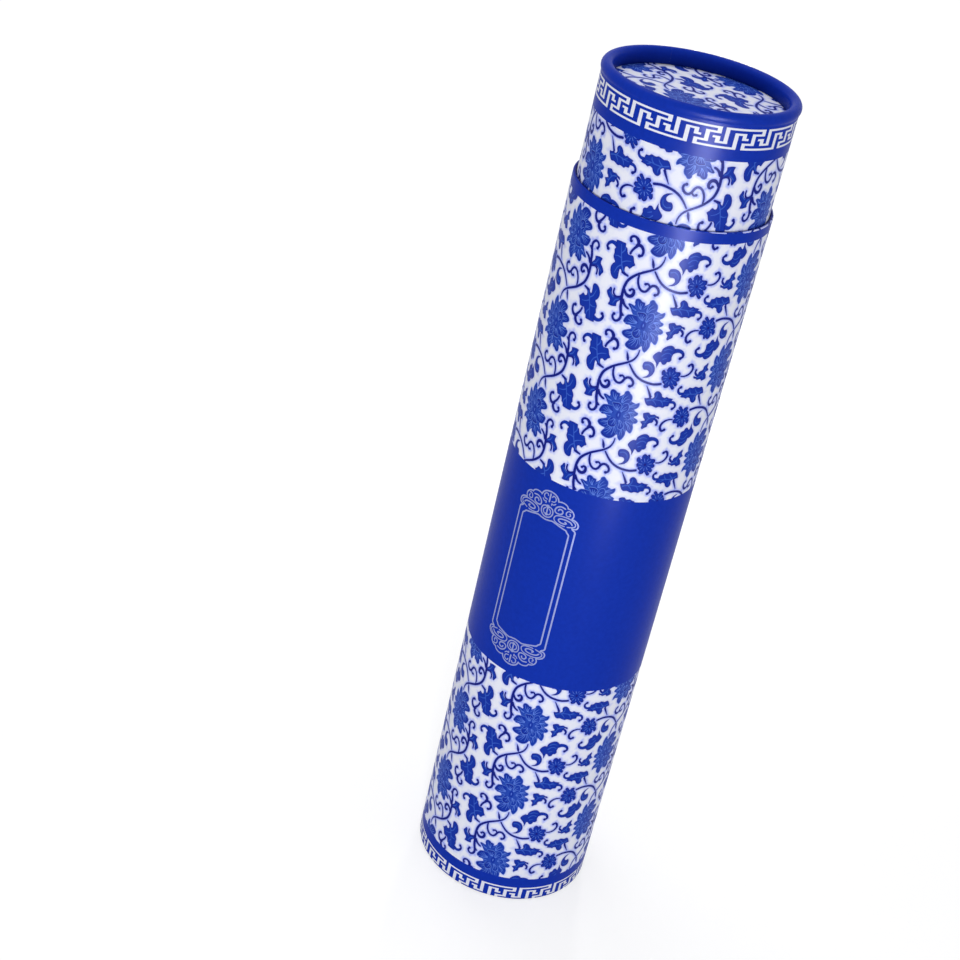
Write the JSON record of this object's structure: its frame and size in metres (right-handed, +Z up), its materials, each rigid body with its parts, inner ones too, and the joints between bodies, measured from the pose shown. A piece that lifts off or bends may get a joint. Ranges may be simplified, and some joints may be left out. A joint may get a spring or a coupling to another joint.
{
  "type": "poster tube",
  "caption": "Round telescoping paperboard poster tube: a closed outer tube and an inner tube with a rolled rim and recessed top that slides down inside it.",
  "frame": {"origin": "middle of the underside, on the face that the tube stands on", "axes": "+Z up along the axis of both tubes, from the closed bottom to the rolled rim; +X to the right in the pictured view, -Y towards the camera"},
  "size_m": [0.1, 0.1, 0.4765],
  "materials": {
    "printed_paper": "satin laminated print, cobalt blue and white",
    "plain_blue_paper": "matte cobalt blue paper",
    "lining_paper": "matte white paper",
    "board": "matte grey board"
  },
  "bodies": {
    "outer": {"outer_board_tube": "board", "outer_printed_wrap": "printed_paper", "outer_lining": "lining_paper", "bottom_disc": "board", "bottom_disc_facing": "plain_blue_paper", "bottom_disc_lining": "lining_paper"},
    "inner": {"inner_board_tube": "board", "inner_printed_wrap": "printed_paper", "inner_lining": "lining_paper", "top_disc": "board", "top_disc_facing": "printed_paper", "top_disc_lining": "lining_paper"}
  },
  "joints": [
    {"name": "pull_out", "type": "slide", "parent": "outer", "child": "inner", "axis": [0, 0, 1], "range_m": [0, 0.42]}
  ]
}
